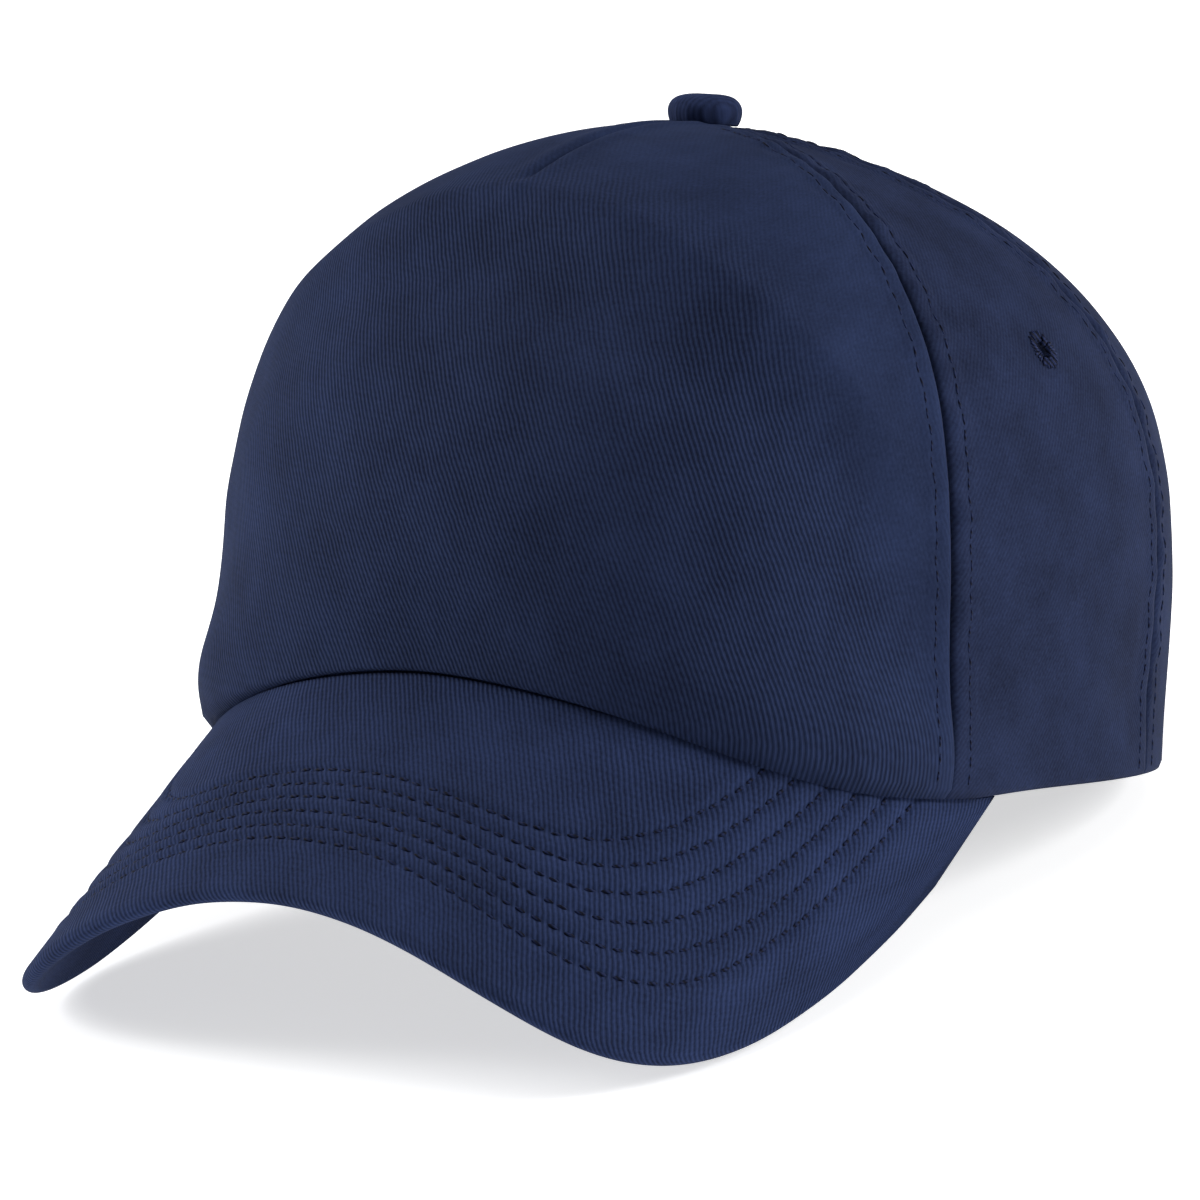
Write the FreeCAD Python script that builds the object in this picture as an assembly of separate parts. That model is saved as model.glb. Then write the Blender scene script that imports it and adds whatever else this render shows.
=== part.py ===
import FreeCAD, Part
import math
import os
from FreeCAD import Vector

# Five-panel baseball cap with a pre-curved visor and a hook-and-loop strap at the back.
# Millimetres. The cap is built in its hem frame: the hem lies in z = 0, the visor points
# to -Y and the wearer's left is +X. At the end it is tipped back until it stands on the
# two low sides of the visor and on the back of the hem, as a cap does on a table.

# Hem oval, from the middle of the head opening
hem_half_width = 84.7
hem_front_length = 90.0
hem_rear_length = 104.5
hem_squareness = 2.43
hem_front_rise = 20.2
hem_blend = 0.4

# Crown dome above the hem
crown_height = 126.0
crown_swell = 3.6
shoulder_mean, shoulder_front, shoulder_quarter = 1.86, 0.42, 0.31
wall_mean, wall_front, wall_quarter = 3.36, -0.53, -0.34
crown_hole_ease = 1.1

# Cloth and the gaps between its layers
cloth = 0.7
ply_gap = 0.1
seam_gap = 0.25
buckram = 0.8
tape_thickness = 0.5
tape_width = 12.0
tape_end_radius = 16.0

# Seams, as angles from the front round to the back
front_seam_angle = math.radians(68.0)
rear_seam_angle = math.radians(120.0)
buckram_angle = math.radians(59.0)
buckram_bottom = 2.5
buckram_top = 78.0

# Visor: a flat crescent bent to a cylinder that slopes down to the front
visor_arch_inset = 0.6
visor_wrap_angle = math.radians(87.5)
visor_slope = math.radians(38.0)
visor_reach = 49.0
visor_outline_power = 3.5
visor_outline_root = 0.61
visor_end_share = 0.985
visor_hem_gap = 0.9
visor_tuck = 1.4
visor_end_gap = 0.8
visor_board_thickness = 1.9
visor_board_inset = 1.5

# Sweatband, a strip folded over a pad
band_height = 32.0
band_cloth = 0.5
band_lift = 0.3
pad_thickness = 1.4
pad_angle = math.radians(75.0)
pad_bottom = 3.0

# Arched opening at the back and its binding
opening_angle = math.radians(27.0)
opening_height = 46.0
binding_width = 7.0
binding_cloth = 0.4
binding_edge_gap = 0.4

# Hook-and-loop strap across the opening
strap_thickness = 1.1
strap_bottom = 2.0
strap_width = 18.0
strap_tuck_angle = math.radians(7.0)
strap_exit_gap = math.radians(3.0)
strap_step_span = math.radians(3.5)
peel_span = math.radians(2.5)
fold_clearance = 6.0
strap_tip_gap = math.radians(3.5)
tail_tip_angle = math.radians(15.0)
hook_tape_start_gap = math.radians(2.5)
loop_tape_start_gap = math.radians(1.0)
hook_tape_end_gap = math.radians(1.0)
loop_tape_end_gap = math.radians(2.0)
hook_and_loop_thickness = 0.7
tape_margin = 1.5
peel_gap = 0.3

# Covered button on the crown
button_radius = 6.6
button_height = 3.9
button_metal = 0.6
button_lift = 0.5
shank_radius = 1.5
shank_foot = 1.2
washer_radius = 7.0
washer_thickness = 0.8
washer_gap = 0.3

# Embroidered eyelets
eyelet_hole_radius = 2.7
eyelet_cover = 1.6
eyelet_thread = 0.55
eyelet_gap = 0.2
eyelet_barrel_gap = 0.25
side_eyelet_angle = math.radians(96.0)
side_eyelet_height = 84.0
rear_eyelet_angle = math.radians(150.0)
rear_eyelet_height = 84.0

# Blank care label sewn to the sweatband
label_angle = math.radians(-128.0)
label_width = 26.0
label_height = 24.0
label_thickness = 0.3
label_bottom = 5.0

# How finely the crown is drawn: columns over each panel, and rows that close up at the hem
front_columns = 44
gore_columns = 20
crown_rows = 26
row_closeness = 1.5
probe = 0.002

crown_hole_radius = shank_radius + crown_hole_ease
eyelet_outer_radius = eyelet_hole_radius + eyelet_cover
eyelet_inner_radius = eyelet_hole_radius - eyelet_barrel_gap - eyelet_thread
strap_sewn_angle = opening_angle + strap_tuck_angle
strap_exit_angle = opening_angle - strap_exit_gap
strap_step_angle = strap_exit_angle - strap_step_span
peel_angle = -(strap_step_angle - peel_span)
loop_tip_angle = peel_angle + strap_tip_gap
hook_tape_angles = (loop_tip_angle + hook_tape_start_gap, tail_tip_angle - hook_tape_end_gap)
loop_tape_angles = (loop_tip_angle + loop_tape_start_gap, tail_tip_angle - loop_tape_end_gap)
quarter_turn = math.pi / 2
up = Vector(0, 0, 1)
visor_arch_radius = hem_half_width - visor_arch_inset
visor_fall = math.tan(visor_slope)
strap_depth = cloth + ply_gap + binding_cloth + peel_gap
band_depth = strap_depth + strap_thickness + peel_gap
band_thickness = 2 * band_cloth + pad_thickness + 2 * ply_gap


# ---------- crown surface ----------

def hem_radius(theta):
    """Plan radius of the hem at an angle from the front (0) towards the wearer's left."""
    length = hem_front_length if math.cos(theta) > 0 else hem_rear_length
    across = abs(math.sin(theta) / hem_half_width) ** hem_squareness
    along = abs(math.cos(theta) / length) ** hem_squareness
    return (across + along) ** (-1 / hem_squareness)


def hem_plan(theta):
    radius = hem_radius(theta)
    return Vector(radius * math.sin(theta), -radius * math.cos(theta), 0)


def hem_front_y(x):
    """Y of the front half of the hem oval at a given x."""
    share = min(abs(x) / hem_half_width, 1.0)
    return -hem_front_length * (1 - share ** hem_squareness) ** (1 / hem_squareness)


corner_x = visor_arch_radius * math.sin(visor_wrap_angle)
corner_y = hem_front_y(corner_x)
corner_angle = math.atan2(corner_x, -corner_y)


def arch_height(bend, y):
    """Height of the visor's cylinder at a bend angle from its crest and at a given y."""
    drop = visor_arch_radius * (1 - math.cos(bend))
    return hem_front_rise - drop + visor_fall * (y + hem_front_length)


def hem_height(theta):
    """The hem follows the arch over the visor and eases to level at the visor's corners."""
    if abs(theta) >= corner_angle:
        return 0.0
    plan = hem_plan(theta)
    arch = arch_height(math.asin(plan.x / visor_arch_radius), plan.y)
    return (arch + math.hypot(arch, 2 * hem_blend)) / 2


def shoulder_power(theta):
    return (shoulder_mean + shoulder_front * math.cos(theta)
            + shoulder_quarter * math.cos(2 * theta))


def wall_power(theta):
    return wall_mean + wall_front * math.cos(theta) + wall_quarter * math.cos(2 * theta)


def crown_surface(theta, rise):
    """Point on the outside of the crown; rise runs from 0 at the hem to 1 at the top."""
    turn = rise * quarter_turn
    reach = max(math.cos(turn), 0.0) ** (2 / shoulder_power(theta))
    lift = max(math.sin(turn), 0.0) ** (2 / wall_power(theta))
    # 27 / 4 brings the peak of the curve that follows it to one
    swell = crown_swell * 27 / 4 * rise * (1 - rise) ** 2
    plan = hem_plan(theta) * (reach + swell / hem_radius(theta))
    base = hem_height(theta)
    return Vector(plan.x, plan.y, base + (crown_height - base) * lift)


def crown_normal(theta, rise):
    low = max(rise - probe, 0.0)
    along = crown_surface(theta + probe, rise) - crown_surface(theta - probe, rise)
    upward = crown_surface(theta, rise + probe) - crown_surface(theta, low)
    return along.cross(upward).normalize()


def crown_point(theta, rise, depth):
    return crown_surface(theta, rise) - crown_normal(theta, rise) * depth


def hem_normal(theta):
    along = hem_plan(theta + probe) - hem_plan(theta - probe)
    return along.cross(up).normalize()


def rise_at_height(theta, height):
    base = hem_height(theta)
    share = max(height - base, 0.0) / (crown_height - base)
    return math.asin(share ** (wall_power(theta) / 2)) / quarter_turn


def rise_at_radius(theta, radius):
    share = (radius / hem_radius(theta)) ** (shoulder_power(theta) / 2)
    return math.acos(share) / quarter_turn


def wall_point(theta, height, depth):
    """Point near the crown's wall at a height, set in level with the hem plane."""
    spot = crown_surface(theta, rise_at_height(theta, height))
    return Vector(spot.x, spot.y, height) - hem_normal(theta) * depth


def hem_section(theta, corners):
    """Corners given as (depth, height) over the hem, in the upright plane across it."""
    plan = hem_plan(theta)
    inward = hem_normal(theta) * -1
    base = hem_height(theta)
    return [plan + inward * depth + up * (base + height) for depth, height in corners]


# ---------- solids from grids and sections ----------

def sewn_solid(faces):
    shell = Part.makeCompound(faces)
    shell.sewShape()
    solid = Part.makeSolid(shell.Shells[0])
    if solid.Volume < 0:
        solid.reverse()
    return solid


def patch_solid(place, outer, inner, columns, rows):
    """Solid between two depths of a curved patch; place(u, v, depth) gives its points."""
    skins = []
    for depth in (outer, inner):
        grid = []
        for column in range(columns + 1):
            u = column / columns
            grid.append([place(u, row / rows, depth) for row in range(rows + 1)])
        skin = Part.BSplineSurface()
        skin.interpolate(grid)
        skins.append(skin)
    faces = [skin.toShape() for skin in skins]
    for end in (0, 1):
        sides = [skin.uIso(skin.bounds()[end]).toShape() for skin in skins]
        faces.append(Part.makeRuledSurface(sides[0], sides[1]))
        sides = [skin.vIso(skin.bounds()[2 + end]).toShape() for skin in skins]
        faces.append(Part.makeRuledSurface(sides[0], sides[1]))
    return sewn_solid(faces)


def band_solid(sections):
    """Solid through a row of flat sections with the same number of corners."""
    rails = []
    for corner in range(len(sections[0])):
        rail = Part.BSplineCurve()
        rail.interpolate([section[corner] for section in sections])
        rails.append(rail.toShape())
    faces = []
    for index, rail in enumerate(rails):
        faces.append(Part.makeRuledSurface(rail, rails[(index + 1) % len(rails)]))
    for section in (sections[0], sections[-1]):
        faces.append(Part.Face(Part.makePolygon(section + [section[0]])))
    return sewn_solid(faces)


def turned(corners, centre):
    """Solid of revolution about the upright axis through centre, from (radius, z) corners."""
    points = [centre + Vector(radius, 0, z) for radius, z in corners]
    face = Part.Face(Part.makePolygon(points + [points[0]]))
    return face.revolve(centre, up, 360)


def rectangle(near, far, low, high):
    return [(near, low), (far, low), (far, high), (near, high)]


def steps(start, end, count):
    return [start + (end - start) * index / count for index in range(count + 1)]


# ---------- crown panels ----------

def crown_panel(start, end, columns):
    """Panel between two seams, open at the top round the button's shank."""
    def place(u, v, depth):
        middle = start + (end - start) * u
        rise = rise_at_radius(middle, crown_hole_radius) * v ** row_closeness
        plan = crown_surface(middle, rise)
        ease = math.asin(seam_gap / 2 / math.hypot(plan.x, plan.y))
        theta = start + ease + (end - start - 2 * ease) * u
        rise = rise_at_radius(theta, crown_hole_radius) * v ** row_closeness
        return crown_point(theta, rise, depth)
    return patch_solid(place, 0.0, cloth, columns, crown_rows)


def opening_edge(sweep, offset, depth):
    """Point beside the arched edge; sweep runs 0 to pi over the arch, offset is outwards."""
    spread = opening_angle + offset / hem_rear_length
    theta = math.pi - spread * math.cos(sweep)
    return wall_point(theta, (opening_height + offset) * math.sin(sweep), depth)


def rear_opening():
    outline = [opening_edge(sweep, 0.0, 0.0) for sweep in steps(0.0, math.pi, 16)]
    near_y = hem_rear_length / 2
    flat = [Vector(spot.x, near_y, spot.z) for spot in outline]
    arch = Part.BSplineCurve()
    arch.interpolate(flat)
    below = Vector(0, 0, -opening_height / 2)
    sides = Part.makePolygon([flat[-1], flat[-1] + below, flat[0] + below, flat[0]])
    face = Part.Face(Part.Wire([arch.toShape()] + sides.Edges))
    return face.extrude(Vector(0, hem_rear_length, 0))


def eyelet_frame(theta, height):
    rise = rise_at_height(theta, height)
    turn = FreeCAD.Rotation(up, crown_normal(theta, rise))
    return FreeCAD.Placement(crown_surface(theta, rise), turn)


def eyelet_hole(theta, height):
    drill = Part.makeCylinder(eyelet_hole_radius, 8 * cloth, Vector(0, 0, -4 * cloth))
    drill.Placement = eyelet_frame(theta, height)
    return drill


def eyelet(theta, height):
    """Thread ring worked over both sides of the cloth and through the hole."""
    top = eyelet_gap + eyelet_thread
    floor = -cloth - eyelet_gap
    foot = floor - eyelet_thread
    barrel = eyelet_inner_radius + eyelet_thread
    corners = [(eyelet_inner_radius, foot), (eyelet_outer_radius, foot),
               (eyelet_outer_radius, floor), (barrel, floor), (barrel, eyelet_gap),
               (eyelet_outer_radius, eyelet_gap), (eyelet_outer_radius, top),
               (eyelet_inner_radius, top)]
    ring = turned(corners, Vector(0, 0, 0))
    ring.Placement = eyelet_frame(theta, height)
    return ring


def seam_tape(theta, bottom):
    """Tape over the inside of a seam, from a height above the hem to near the button."""
    base = hem_height(theta)
    low = rise_at_height(theta, base + bottom)
    high = rise_at_radius(theta, tape_end_radius)

    def place(u, v, depth):
        rise = low + (high - low) * v ** row_closeness
        plan = crown_surface(theta, rise)
        spread = math.asin(tape_width / 2 / math.hypot(plan.x, plan.y))
        return crown_point(theta + spread * (2 * u - 1), rise, depth)
    start = cloth + ply_gap
    return patch_solid(place, start, start + tape_thickness, 3, crown_rows)


def front_buckram():
    def place(u, v, depth):
        theta = buckram_angle * (2 * u - 1)
        low = rise_at_height(theta, hem_height(theta) + buckram_bottom)
        high = rise_at_height(theta, buckram_top)
        return crown_point(theta, low + (high - low) * v, depth)
    start = cloth + ply_gap
    return patch_solid(place, start, start + buckram, 16, 10)


# ---------- sweatband, label and binding ----------

def hem_band(start, end, corners, count):
    return band_solid([hem_section(theta, corners) for theta in steps(start, end, count)])


def sweatband():
    near = band_depth
    far = near + band_thickness
    top = band_height
    fold = top - band_cloth
    corners = [(near, band_lift), (near + band_cloth, band_lift),
               (near + band_cloth, fold), (far - band_cloth, fold),
               (far - band_cloth, band_lift), (far, band_lift), (far, top), (near, top)]
    end = math.pi - opening_angle
    return hem_band(-end, end, corners, 72)


def sweatband_padding():
    near = band_depth + band_cloth + ply_gap
    corners = rectangle(near, near + pad_thickness, pad_bottom,
                        band_height - band_cloth - ply_gap)
    return hem_band(-pad_angle, pad_angle, corners, 36)


def care_label():
    near = band_depth + band_thickness + ply_gap
    half = label_width / 2 / hem_radius(label_angle)
    corners = rectangle(near, near + label_thickness, label_bottom,
                        label_bottom + label_height)
    return hem_band(label_angle - half, label_angle + half, corners, 6)


def rear_opening_binding():
    outer = -ply_gap
    inner = cloth + ply_gap
    edge = -binding_edge_gap
    lip = edge - binding_cloth
    middle = binding_width / 2
    corners = [(lip, outer - binding_cloth), (middle, outer - binding_cloth),
               (binding_width, outer - binding_cloth), (binding_width, outer),
               (middle, outer), (edge, outer), (edge, inner), (middle, inner),
               (binding_width, inner), (binding_width, inner + binding_cloth),
               (middle, inner + binding_cloth), (lip, inner + binding_cloth)]
    sections = []
    for sweep in steps(0.0, math.pi, 48):
        sections.append([opening_edge(sweep, offset, depth) for offset, depth in corners])
    return band_solid(sections)


# ---------- strap ----------

def rear_angle(angle):
    """Angle round the crown from an angle off the back, positive to the wearer's left."""
    return math.pi - angle


def strap_piece(start, end, depth_at, thickness, margin, count):
    """Strip across the back of the hem; depth_at(angle) is the depth of its outer face."""
    sections = []
    for angle in steps(start, end, count):
        near = depth_at(angle)
        corners = rectangle(near, near + thickness, strap_bottom + margin,
                            strap_bottom + strap_width - margin)
        sections.append(hem_section(rear_angle(angle), corners))
    return band_solid(sections)


loop_tape_depth = strap_depth - ply_gap - hook_and_loop_thickness
hook_tape_depth = loop_tape_depth - peel_gap - hook_and_loop_thickness
tail_depth = hook_tape_depth - ply_gap - strap_thickness
fold_half_angle = fold_clearance / 2 / hem_rear_length


def level(depth):
    return lambda angle: depth


def sewn_end_depth(angle):
    """The sewn end comes out from under the cloth and steps outwards to the tail."""
    share = (strap_exit_angle + angle) / (strap_exit_angle - strap_step_angle)
    share = min(max(share, 0.0), 1.0)
    ease = share * share * (3 - 2 * share)
    return strap_depth + (tail_depth - strap_depth) * ease


def strap_parts():
    hook, loop = hook_tape_angles, loop_tape_angles
    thick = hook_and_loop_thickness
    return {
        "hook_strap_end": strap_piece(-strap_sewn_angle, peel_angle - fold_half_angle,
                                      sewn_end_depth, strap_thickness, 0.0, 28),
        "hook_strap": strap_piece(peel_angle + fold_half_angle, tail_tip_angle,
                                  level(tail_depth), strap_thickness, 0.0, 16),
        "hook_tape": strap_piece(hook[0], hook[1], level(hook_tape_depth), thick,
                                 tape_margin, 12),
        "loop_strap": strap_piece(loop_tip_angle, strap_sewn_angle, level(strap_depth),
                                  strap_thickness, 0.0, 24),
        "loop_tape": strap_piece(loop[0], loop[1], level(loop_tape_depth), thick,
                                 tape_margin, 12),
    }


# ---------- visor ----------

def visor_layer(outer, inner, inset):
    """Layer of the visor between two depths, its outline set in by inset."""
    wrap = visor_arch_radius * visor_wrap_angle
    length = visor_reach + hem_front_length + corner_y

    def place(u, v, depth):
        share = visor_end_share * math.sin(quarter_turn * (2 * u - 1))
        along = share * (wrap - inset)
        bend = along / visor_arch_radius
        width = length * (1 - abs(share) ** visor_outline_power) ** visor_outline_root
        x = visor_arch_radius * math.sin(bend)
        hem_y = hem_front_y(x)
        below = hem_height(math.atan2(x, -hem_y)) - arch_height(bend, hem_y)
        tuck = visor_tuck * math.cos(bend) - visor_end_gap * (1 - math.cos(bend))
        back = hem_y + below / visor_fall + tuck - inset
        front = corner_y - width + inset
        y = back + (front - back) * v
        spot = Vector(x, y, arch_height(bend, y))
        normal = Vector(math.sin(bend), -visor_fall * math.cos(bend), math.cos(bend))
        return spot - normal.normalize() * depth
    return patch_solid(place, outer, inner, 40, 4)


def visor_parts():
    top = visor_hem_gap
    board = top + cloth + ply_gap
    under = board + visor_board_thickness + ply_gap
    return {
        "visor_top_cover": visor_layer(top, top + cloth, 0.0),
        "visor_board": visor_layer(board, board + visor_board_thickness, visor_board_inset),
        "visor_under_cover": visor_layer(under, under + cloth, 0.0),
    }


# ---------- button ----------

def dome_corners(radius, height, foot):
    """Outline of a low dome as (radius, z) corners, from its crest out to its rim."""
    return [(radius * math.sin(angle), foot + height * math.cos(angle))
            for angle in steps(0.0, quarter_turn, 12)]


def button_parts():
    centre = Vector(0, 0, crown_height)
    skin = cloth
    shell_foot = button_lift + skin + ply_gap
    inside = dome_corners(button_radius - button_metal, button_height - button_metal,
                          shell_foot)
    outside = dome_corners(button_radius, button_height, shell_foot)
    lining = dome_corners(button_radius + ply_gap, button_height + ply_gap, shell_foot)
    cover = dome_corners(button_radius + ply_gap + skin, button_height + ply_gap + skin,
                         shell_foot)
    tuck_radius = button_radius - 2 * skin
    turn_under = [(button_radius + ply_gap + skin, button_lift),
                  (tuck_radius, button_lift), (tuck_radius, button_lift + skin),
                  (button_radius + ply_gap, button_lift + skin)]
    washer_top = -cloth - washer_gap - washer_thickness
    shank_top = shell_foot + button_height - button_metal - ply_gap - shank_foot
    foot = washer_top - washer_thickness
    shank = [(0.0, foot - shank_foot), (2 * shank_radius, foot - shank_foot),
             (2 * shank_radius, foot - ply_gap), (shank_radius, foot - ply_gap),
             (shank_radius, shank_top), (2 * shank_radius, shank_top),
             (2 * shank_radius, shank_top + shank_foot / 2), (0.0, shank_top + shank_foot / 2)]
    washer = rectangle(shank_radius + ply_gap, washer_radius, foot, washer_top)
    return {
        "button_shell": turned(outside + inside[::-1], centre),
        "button_cover": turned(cover + turn_under + lining[::-1], centre),
        "button_shank": turned(shank, centre),
        "button_back_washer": turned(washer, centre),
    }


# ---------- the whole cap ----------

def build_cap():
    opening = rear_opening()
    cap = {"front_panel": crown_panel(-front_seam_angle, front_seam_angle, front_columns)}
    for side, name in ((1, "left"), (-1, "right")):
        side_ends = sorted((side * front_seam_angle, side * rear_seam_angle))
        rear_ends = sorted((side * rear_seam_angle, side * math.pi))
        side_spot = (side * side_eyelet_angle, side_eyelet_height)
        rear_spot = (side * rear_eyelet_angle, rear_eyelet_height)
        side_panel = crown_panel(side_ends[0], side_ends[1], gore_columns)
        rear_panel = crown_panel(rear_ends[0], rear_ends[1], gore_columns)
        cap["side_panel_" + name] = side_panel.cut(eyelet_hole(*side_spot))
        cap["rear_panel_" + name] = rear_panel.cut(opening).cut(eyelet_hole(*rear_spot))
        cap["eyelet_side_" + name] = eyelet(*side_spot)
        cap["eyelet_rear_" + name] = eyelet(*rear_spot)
        cap["seam_tape_front_" + name] = seam_tape(side * front_seam_angle, band_lift)
        cap["seam_tape_rear_" + name] = seam_tape(side * rear_seam_angle, band_lift)
    above_opening = opening_height + binding_width + tape_margin
    cap["seam_tape_rear_centre"] = seam_tape(math.pi, above_opening)
    cap["front_buckram"] = front_buckram()
    cap["sweatband"] = sweatband()
    cap["sweatband_padding"] = sweatband_padding()
    cap["care_label"] = care_label()
    cap["rear_opening_binding"] = rear_opening_binding()
    cap.update(strap_parts())
    cap.update(visor_parts())
    cap.update(button_parts())
    return cap


def box_of(shapes):
    """Lowest and highest corners of the meshed shapes."""
    spots = []
    for shape in shapes:
        spots.extend(shape.tessellate(0.05)[0])
    low = Vector(min(p.x for p in spots), min(p.y for p in spots), min(p.z for p in spots))
    high = Vector(max(p.x for p in spots), max(p.y for p in spots), max(p.z for p in spots))
    return low, high


def standing_tilt(visor, hem):
    """Backward tilt at which the visor's low sides and the back of the hem share a floor."""
    visor_spots = visor.tessellate(0.1)[0]
    hem_spots = [spot for spot in hem.tessellate(0.1)[0] if spot.y > hem_rear_length / 2]
    low, high = -quarter_turn / 2, quarter_turn / 2
    for attempt in range(40):
        tilt = (low + high) / 2
        fall, keep = math.sin(tilt), math.cos(tilt)
        visor_low = min(-spot.y * fall + spot.z * keep for spot in visor_spots)
        hem_low = min(-spot.y * fall + spot.z * keep for spot in hem_spots)
        if visor_low < hem_low:
            low = tilt
        else:
            high = tilt
    return tilt


def stand(cap):
    tilt = standing_tilt(cap["visor_under_cover"], cap["rear_panel_left"])
    for shape in cap.values():
        shape.rotate(Vector(0, 0, 0), Vector(1, 0, 0), -math.degrees(tilt))
    low, high = box_of(cap.values())
    shift = Vector(0, -(low.y + high.y) / 2, -low.z)
    for shape in cap.values():
        shape.translate(shift)
    print("tilt", round(math.degrees(tilt), 3), "size", high - low, "shift", shift)
    return cap


os.makedirs("parts", exist_ok=True)
for node, solid in stand(build_cap()).items():
    solid.exportStep("parts/" + node + ".step")
    print(node, len(solid.Solids), round(solid.Volume, 1), solid.isValid())
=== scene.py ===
import math

import bmesh
import bpy
import numpy as np
from mathutils import Matrix, Vector, noise
from mathutils.bvhtree import BVHTree
from mathutils.kdtree import KDTree


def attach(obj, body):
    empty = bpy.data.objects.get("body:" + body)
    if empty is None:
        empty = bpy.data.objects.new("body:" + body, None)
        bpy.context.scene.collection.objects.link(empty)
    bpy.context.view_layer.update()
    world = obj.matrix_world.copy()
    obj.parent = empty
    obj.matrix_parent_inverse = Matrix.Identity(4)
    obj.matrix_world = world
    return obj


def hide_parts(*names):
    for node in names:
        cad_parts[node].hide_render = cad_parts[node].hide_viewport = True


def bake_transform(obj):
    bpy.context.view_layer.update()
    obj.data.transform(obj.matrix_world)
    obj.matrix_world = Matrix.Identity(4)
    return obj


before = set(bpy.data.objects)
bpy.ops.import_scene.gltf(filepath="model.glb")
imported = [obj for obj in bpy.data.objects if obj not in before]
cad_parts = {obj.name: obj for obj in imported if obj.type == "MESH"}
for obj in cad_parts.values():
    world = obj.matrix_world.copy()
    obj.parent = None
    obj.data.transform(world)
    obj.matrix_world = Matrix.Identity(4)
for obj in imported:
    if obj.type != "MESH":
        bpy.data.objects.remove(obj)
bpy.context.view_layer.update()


# ---------- Front panel ----------
# One wide panel of navy cotton drill over a stiffened lining. It is cut flat, and a
# short dart sewn down from the button gives it the step over the forehead. Its hem is
# turned under where the visor is sewn in. All crown sizes here are millimetres.

hem_half_width, hem_front_length, hem_rear_length = 84.7, 90.0, 104.5
hem_squareness = 2.43
hem_front_rise, hem_blend = 20.2, 0.4
crown_height, crown_swell = 126.0, 3.6
shoulder_powers, wall_powers = (1.86, 0.42, 0.31), (3.36, -0.53, -0.34)
visor_arch_radius = hem_half_width - 0.6
visor_fall = math.tan(math.radians(38.0))
visor_wrap = math.radians(87.5)
hem_tilt = math.radians(13.25)
hem_middle = Vector((0.0, 12.885, 22.348))
front_seam, rear_seam = math.radians(68.0), math.radians(120.0)
crown_hole = 3.4
probe = 0.002  # step for a slope: radians round the crown, or a share of its rise

stand = Matrix.Scale(0.001, 4) @ Matrix.Translation(hem_middle)
stand = stand @ Matrix.Rotation(-hem_tilt, 4, "X")
stand_array = np.array(stand)


def standing(points):
    """Points in the hem frame, in millimetres, as points on the floor, in metres."""
    return points @ stand_array[:3, :3].T + stand_array[:3, 3]


def hem_radius(theta):
    length = np.where(np.cos(theta) > 0, hem_front_length, hem_rear_length)
    across = np.abs(np.sin(theta) / hem_half_width) ** hem_squareness
    along = np.abs(np.cos(theta) / length) ** hem_squareness
    return (across + along) ** (-1 / hem_squareness)


def hem_front_y(x):
    share = np.minimum(np.abs(x) / hem_half_width, 1.0)
    return -hem_front_length * (1 - share ** hem_squareness) ** (1 / hem_squareness)


corner_x = visor_arch_radius * math.sin(visor_wrap)
corner_y = float(hem_front_y(corner_x))
corner_angle = math.atan2(corner_x, -corner_y)


def arch_height(bend, y):
    drop = visor_arch_radius * (1 - np.cos(bend))
    return hem_front_rise - drop + visor_fall * (y + hem_front_length)


def hem_height(theta):
    radius = hem_radius(theta)
    share = np.clip(radius * np.sin(theta) / visor_arch_radius, -1, 1)
    arch = arch_height(np.arcsin(share), -radius * np.cos(theta))
    eased = (arch + np.hypot(arch, 2 * hem_blend)) / 2
    return np.where(np.abs(theta) < corner_angle, eased, 0.0)


def power_at(theta, powers):
    """How square a shoulder or wall is, from its mean, front and quarter shares."""
    mean, front, quarter = powers
    return mean + front * np.cos(theta) + quarter * np.cos(2 * theta)


def crown_surface(theta, rise):
    """Points on the smooth crown; rise runs from 0 at the hem to 1 at the button. The
    factor 27 / 4 makes the swell as deep as its name says at its deepest."""
    reach = np.cos(rise * math.pi / 2).clip(0, 1) ** (2 / power_at(theta, shoulder_powers))
    lift = np.sin(rise * math.pi / 2).clip(0, 1) ** (2 / power_at(theta, wall_powers))
    radius = hem_radius(theta) * reach + crown_swell * (27 / 4) * rise * (1 - rise) ** 2
    base = hem_height(theta)
    height = base + (crown_height - base) * lift
    return np.stack([radius * np.sin(theta), -radius * np.cos(theta), height], -1)


def rise_at_height(theta, height):
    base = hem_height(theta)
    share = np.clip((height - base) / (crown_height - base), 0, 1)
    return np.arcsin(share ** (power_at(theta, wall_powers) / 2)) * 2 / math.pi


def rise_at_radius(theta, radius):
    power = power_at(theta, shoulder_powers)
    return np.arccos((radius / hem_radius(theta)) ** (power / 2)) * 2 / math.pi


def angle_of(points):
    """Angle round the crown, from the middle of the front."""
    return np.arctan2(points[..., 0], -points[..., 1])


def over_hem(points):
    return points[..., 2] - hem_height(angle_of(points))


def unit(vectors):
    return vectors / np.maximum(np.linalg.norm(vectors, axis=-1, keepdims=True), 1e-9)


def across_crown(theta, rise):
    return crown_surface(theta + probe, rise) - crown_surface(theta - probe, rise)


def crown_inside(theta, rise, depth):
    """Points under the smooth crown, at a depth square to it."""
    low = np.maximum(rise - probe, 0.0)
    upward = crown_surface(theta, rise + probe) - crown_surface(theta, low)
    normal = unit(np.cross(across_crown(theta, rise), upward))
    return crown_surface(theta, rise) - normal * np.asarray(depth)[..., None]


def inward_of(theta, rise):
    """Level direction into the cap, square to its plan."""
    across = across_crown(theta, rise)
    return unit(np.stack([-across[..., 1], across[..., 0], 0 * theta], -1))


def grid_normals(points):
    return unit(np.cross(np.gradient(points, axis=1), np.gradient(points, axis=0)))


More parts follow.
